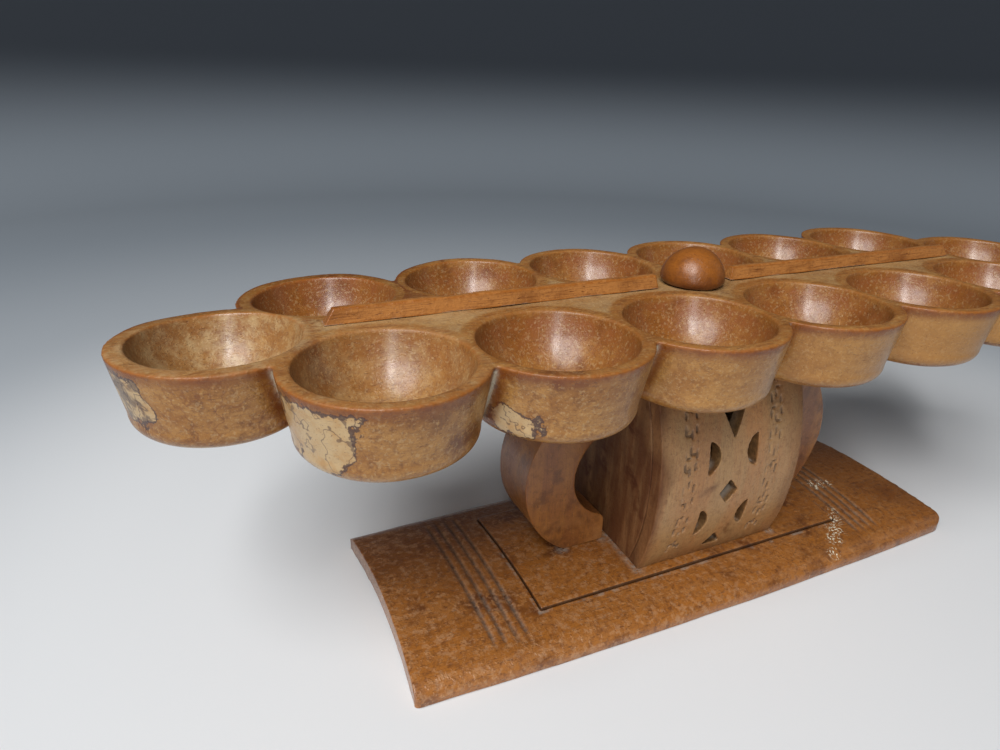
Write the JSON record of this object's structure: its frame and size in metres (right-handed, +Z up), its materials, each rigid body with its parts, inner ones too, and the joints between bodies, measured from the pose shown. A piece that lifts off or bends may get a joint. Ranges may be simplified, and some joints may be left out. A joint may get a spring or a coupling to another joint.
{
  "type": "mancala board",
  "caption": "Oware board: a long plank of round seed cups with a store at each end, on a carved stool stand with crescent legs, a pierced hollow column and a lift-out stopper.",
  "frame": {"origin": "on the table under the middle of the board", "axes": "+X along the board from the left store to the right one, +Y from the front row to the back row, +Z up"},
  "size_m": [0.5995, 0.1888, 0.199],
  "materials": {
    "board_wood": "pale tan hardwood under clear glossy varnish, cups redder, rims worn orange, patches of spalting",
    "rail_wood": "orange-brown hardwood, straight grained, clear varnish",
    "knob_wood": "red-brown hardwood, turned and polished",
    "column_wood": "tan hardwood, hand carved, satin varnish, dusty recesses",
    "leg_wood": "tan hardwood, hand carved, satin varnish",
    "base_wood": "red-brown mottled hardwood, clear varnish, dusty scribed lines",
    "dowel_wood": "plain unfinished hardwood"
  },
  "bodies": {
    "board_and_stand": {"playing_board": "board_wood", "left_ridge_rail": "rail_wood", "right_ridge_rail": "rail_wood", "front_fret_panel": "column_wood", "back_fret_panel": "column_wood", "left_column_wall": "column_wood", "right_column_wall": "column_wood", "left_crescent_leg": "leg_wood", "right_crescent_leg": "leg_wood", "raised_panel": "base_wood", "base_slab": "base_wood", "board_dowels": "dowel_wood", "base_dowels": "dowel_wood", "leg_head_dowels": "dowel_wood", "leg_foot_dowels": "dowel_wood"},
    "stopper": {"stopper_knob": "knob_wood"}
  },
  "joints": [
    {"name": "stopper_lift", "type": "slide", "parent": "board_and_stand", "child": "stopper", "axis": [0, 0, 1], "range_m": [0, 0.045]}
  ]
}
